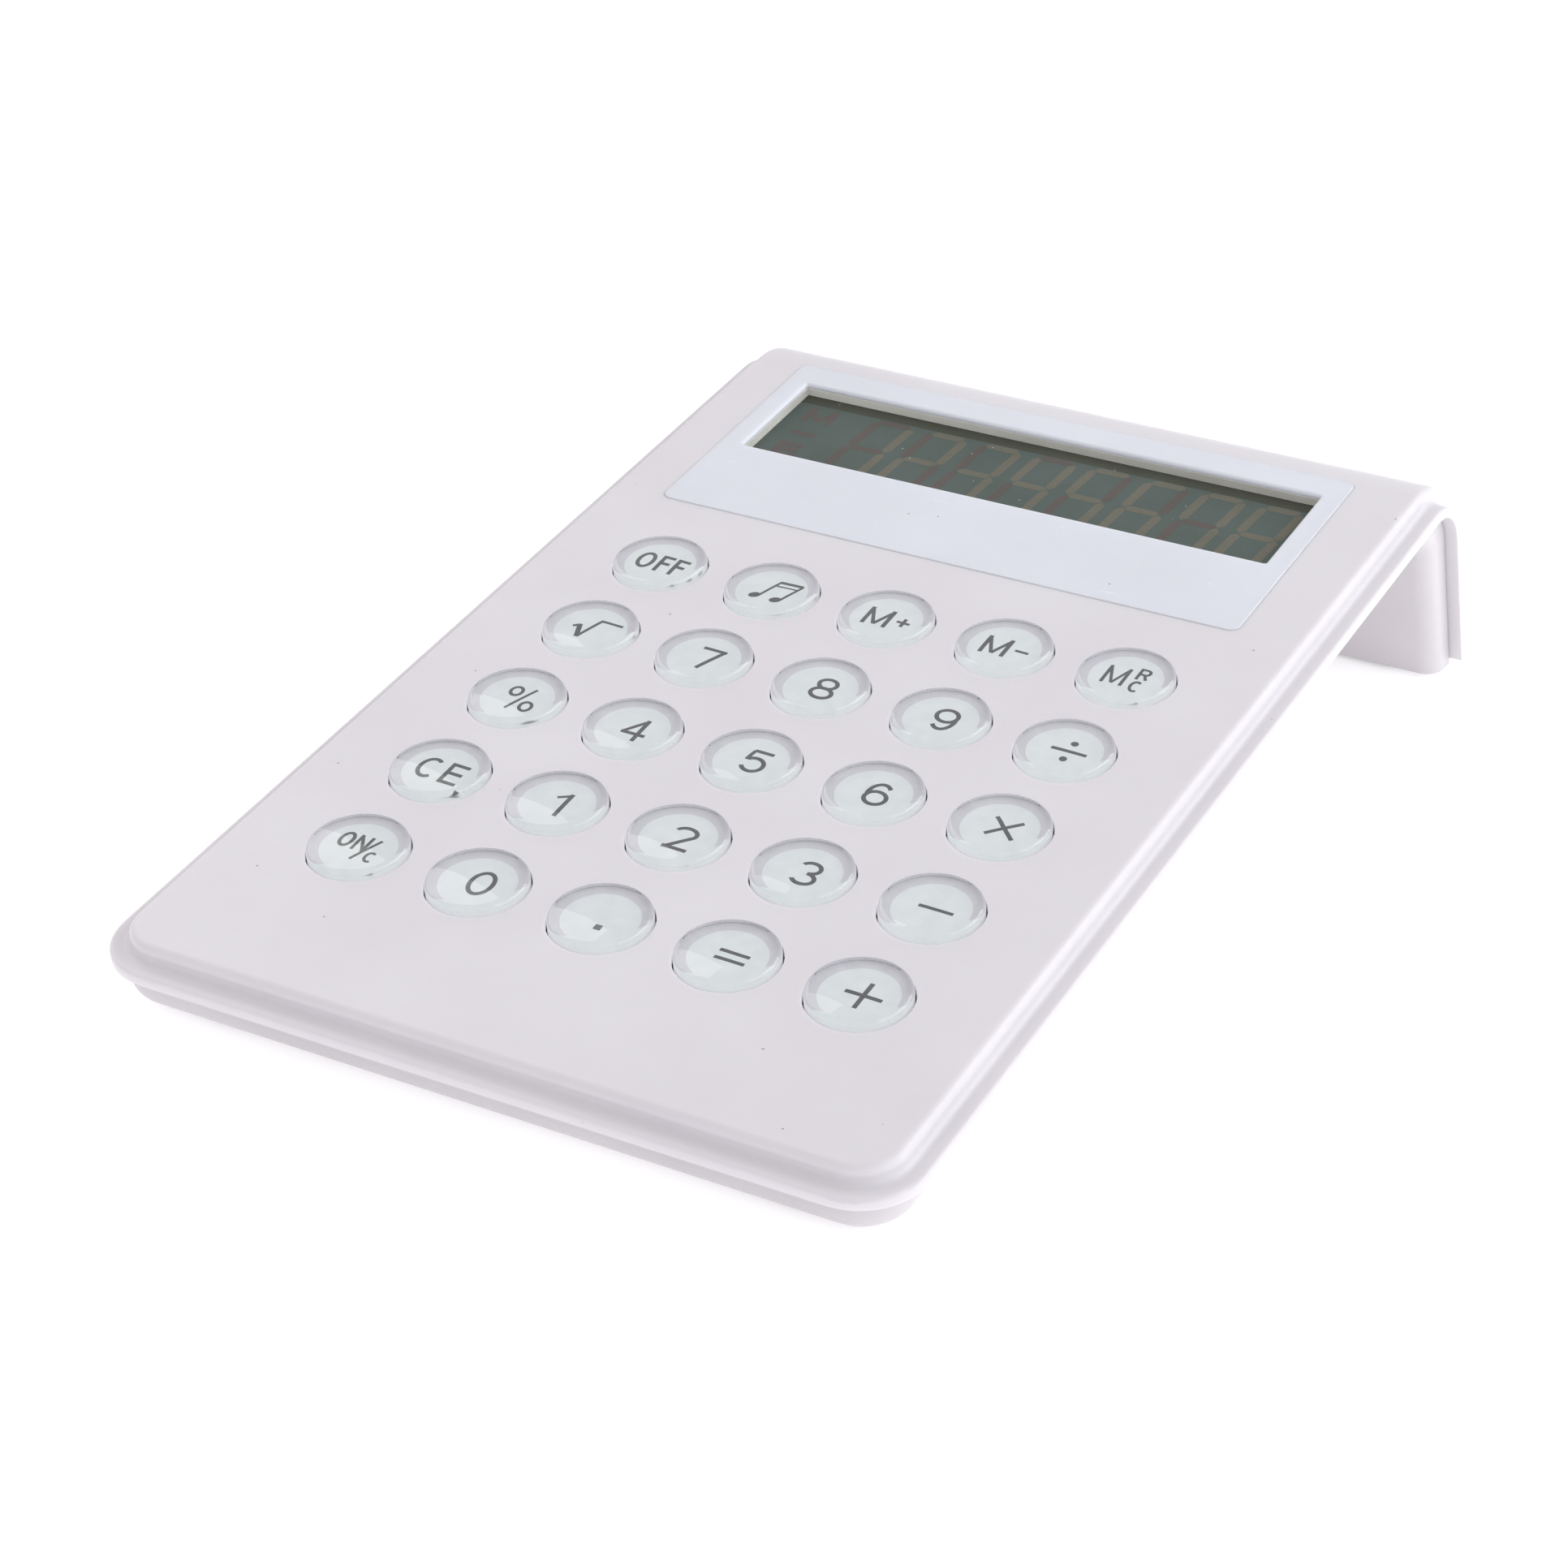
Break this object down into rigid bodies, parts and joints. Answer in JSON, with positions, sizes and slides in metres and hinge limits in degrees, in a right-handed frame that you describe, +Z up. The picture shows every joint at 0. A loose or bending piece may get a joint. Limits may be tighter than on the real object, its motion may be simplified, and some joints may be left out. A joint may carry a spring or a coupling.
{
  "type": "desk calculator",
  "caption": "Slim sloping desk calculator bent over into a rear leg, with round clear push keys and an eight-digit display.",
  "frame": {"origin": "centre of the overall box on the desk plane, with the feet standing on z = 0", "axes": "+X to the user's right across the keys, +Y from the front edge towards the display and leg, +Z up"},
  "size_m": [0.098, 0.1626, 0.0295],
  "materials": {
    "casing": "glossy injection-moulded white ABS with a faint pink cast",
    "cover": "glossy white ABS, slightly pinker than the casing",
    "bezel": "bluish white, semi-gloss",
    "keys": "clear polished acrylic, printed from below",
    "lcd_film": "grey-green polarising film",
    "lcd_glass": "clear glass",
    "reflector": "metallised film",
    "inner_plastic": "natural white ABS",
    "ribbon": "printed polyester film",
    "mat": "translucent white silicone",
    "carbon": "conductive carbon rubber",
    "board": "green solder mask on paper laminate",
    "epoxy": "black potting epoxy",
    "ceramic": "fired ceramic",
    "cell": "nickel-plated steel",
    "contacts": "nickel-plated spring steel",
    "screws": "zinc-plated steel",
    "brass": "rolled brass",
    "wire": "PVC-insulated wire",
    "feet": "soft grey translucent rubber"
  },
  "bodies": {
    "casing": {"battery_door": "cover", "battery_door_screw": "screws", "board_screws": "screws", "bottom_cover": "cover", "button_cell": "cell", "capacitors": "ceramic", "carbon_pills": "carbon", "case_screws": "screws", "cell_contact_minus": "contacts", "cell_contact_plus": "contacts", "chip_blob": "epoxy", "circuit_board": "board", "display_bezel": "bezel", "front_foot_left": "feet", "front_foot_right": "feet", "keypad_mat": "mat", "lcd_front_film": "lcd_film", "lcd_front_glass": "lcd_glass", "lcd_rear_glass": "lcd_glass", "lcd_reflector": "reflector", "lcd_retainer": "inner_plastic", "lcd_retainer_screws": "screws", "lcd_ribbon": "ribbon", "leg_foot_left": "feet", "leg_foot_right": "feet", "resistors": "epoxy", "sounder_ceramic": "ceramic", "sounder_disc": "brass", "sounder_wires": "wire", "top_casing": "casing"},
    "key_off_body": {"key_off": "keys"},
    "key_melody_body": {"key_melody": "keys"},
    "key_m_plus_body": {"key_m_plus": "keys"},
    "key_m_minus_body": {"key_m_minus": "keys"},
    "key_mrc_body": {"key_mrc": "keys"},
    "key_root_body": {"key_root": "keys"},
    "key_7_body": {"key_7": "keys"},
    "key_8_body": {"key_8": "keys"},
    "key_9_body": {"key_9": "keys"},
    "key_divide_body": {"key_divide": "keys"},
    "key_percent_body": {"key_percent": "keys"},
    "key_4_body": {"key_4": "keys"},
    "key_5_body": {"key_5": "keys"},
    "key_6_body": {"key_6": "keys"},
    "key_times_body": {"key_times": "keys"},
    "key_ce_body": {"key_ce": "keys"},
    "key_1_body": {"key_1": "keys"},
    "key_2_body": {"key_2": "keys"},
    "key_3_body": {"key_3": "keys"},
    "key_minus_body": {"key_minus": "keys"},
    "key_on_c_body": {"key_on_c": "keys"},
    "key_0_body": {"key_0": "keys"},
    "key_point_body": {"key_point": "keys"},
    "key_equals_body": {"key_equals": "keys"},
    "key_plus_body": {"key_plus": "keys"}
  },
  "joints": [
    {"name": "key_off_press", "type": "slide", "parent": "casing", "child": "key_off_body", "axis": [0, 0.1478, -0.989], "range_m": [0, 0.001], "stiffness_N_per_m": 700, "deforming": ["keypad_mat"]},
    {"name": "key_melody_press", "type": "slide", "parent": "casing", "child": "key_melody_body", "axis": [0, 0.1478, -0.989], "range_m": [0, 0.001], "stiffness_N_per_m": 700, "deforming": ["keypad_mat"]},
    {"name": "key_m_plus_press", "type": "slide", "parent": "casing", "child": "key_m_plus_body", "axis": [0, 0.1478, -0.989], "range_m": [0, 0.001], "stiffness_N_per_m": 700, "deforming": ["keypad_mat"]},
    {"name": "key_m_minus_press", "type": "slide", "parent": "casing", "child": "key_m_minus_body", "axis": [0, 0.1478, -0.989], "range_m": [0, 0.001], "stiffness_N_per_m": 700, "deforming": ["keypad_mat"]},
    {"name": "key_mrc_press", "type": "slide", "parent": "casing", "child": "key_mrc_body", "axis": [0, 0.1478, -0.989], "range_m": [0, 0.001], "stiffness_N_per_m": 700, "deforming": ["keypad_mat"]},
    {"name": "key_root_press", "type": "slide", "parent": "casing", "child": "key_root_body", "axis": [0, 0.1478, -0.989], "range_m": [0, 0.001], "stiffness_N_per_m": 700, "deforming": ["keypad_mat"]},
    {"name": "key_7_press", "type": "slide", "parent": "casing", "child": "key_7_body", "axis": [0, 0.1478, -0.989], "range_m": [0, 0.001], "stiffness_N_per_m": 700, "deforming": ["keypad_mat"]},
    {"name": "key_8_press", "type": "slide", "parent": "casing", "child": "key_8_body", "axis": [0, 0.1478, -0.989], "range_m": [0, 0.001], "stiffness_N_per_m": 700, "deforming": ["keypad_mat"]},
    {"name": "key_9_press", "type": "slide", "parent": "casing", "child": "key_9_body", "axis": [0, 0.1478, -0.989], "range_m": [0, 0.001], "stiffness_N_per_m": 700, "deforming": ["keypad_mat"]},
    {"name": "key_divide_press", "type": "slide", "parent": "casing", "child": "key_divide_body", "axis": [0, 0.1478, -0.989], "range_m": [0, 0.001], "stiffness_N_per_m": 700, "deforming": ["keypad_mat"]},
    {"name": "key_percent_press", "type": "slide", "parent": "casing", "child": "key_percent_body", "axis": [0, 0.1478, -0.989], "range_m": [0, 0.001], "stiffness_N_per_m": 700, "deforming": ["keypad_mat"]},
    {"name": "key_4_press", "type": "slide", "parent": "casing", "child": "key_4_body", "axis": [0, 0.1478, -0.989], "range_m": [0, 0.001], "stiffness_N_per_m": 700, "deforming": ["keypad_mat"]},
    {"name": "key_5_press", "type": "slide", "parent": "casing", "child": "key_5_body", "axis": [0, 0.1478, -0.989], "range_m": [0, 0.001], "stiffness_N_per_m": 700, "deforming": ["keypad_mat"]},
    {"name": "key_6_press", "type": "slide", "parent": "casing", "child": "key_6_body", "axis": [0, 0.1478, -0.989], "range_m": [0, 0.001], "stiffness_N_per_m": 700, "deforming": ["keypad_mat"]},
    {"name": "key_times_press", "type": "slide", "parent": "casing", "child": "key_times_body", "axis": [0, 0.1478, -0.989], "range_m": [0, 0.001], "stiffness_N_per_m": 700, "deforming": ["keypad_mat"]},
    {"name": "key_ce_press", "type": "slide", "parent": "casing", "child": "key_ce_body", "axis": [0, 0.1478, -0.989], "range_m": [0, 0.001], "stiffness_N_per_m": 700, "deforming": ["keypad_mat"]},
    {"name": "key_1_press", "type": "slide", "parent": "casing", "child": "key_1_body", "axis": [0, 0.1478, -0.989], "range_m": [0, 0.001], "stiffness_N_per_m": 700, "deforming": ["keypad_mat"]},
    {"name": "key_2_press", "type": "slide", "parent": "casing", "child": "key_2_body", "axis": [0, 0.1478, -0.989], "range_m": [0, 0.001], "stiffness_N_per_m": 700, "deforming": ["keypad_mat"]},
    {"name": "key_3_press", "type": "slide", "parent": "casing", "child": "key_3_body", "axis": [0, 0.1478, -0.989], "range_m": [0, 0.001], "stiffness_N_per_m": 700, "deforming": ["keypad_mat"]},
    {"name": "key_minus_press", "type": "slide", "parent": "casing", "child": "key_minus_body", "axis": [0, 0.1478, -0.989], "range_m": [0, 0.001], "stiffness_N_per_m": 700, "deforming": ["keypad_mat"]},
    {"name": "key_on_c_press", "type": "slide", "parent": "casing", "child": "key_on_c_body", "axis": [0, 0.1478, -0.989], "range_m": [0, 0.001], "stiffness_N_per_m": 700, "deforming": ["keypad_mat"]},
    {"name": "key_0_press", "type": "slide", "parent": "casing", "child": "key_0_body", "axis": [0, 0.1478, -0.989], "range_m": [0, 0.001], "stiffness_N_per_m": 700, "deforming": ["keypad_mat"]},
    {"name": "key_point_press", "type": "slide", "parent": "casing", "child": "key_point_body", "axis": [0, 0.1478, -0.989], "range_m": [0, 0.001], "stiffness_N_per_m": 700, "deforming": ["keypad_mat"]},
    {"name": "key_equals_press", "type": "slide", "parent": "casing", "child": "key_equals_body", "axis": [0, 0.1478, -0.989], "range_m": [0, 0.001], "stiffness_N_per_m": 700, "deforming": ["keypad_mat"]},
    {"name": "key_plus_press", "type": "slide", "parent": "casing", "child": "key_plus_body", "axis": [0, 0.1478, -0.989], "range_m": [0, 0.001], "stiffness_N_per_m": 700, "deforming": ["keypad_mat"]}
  ]
}
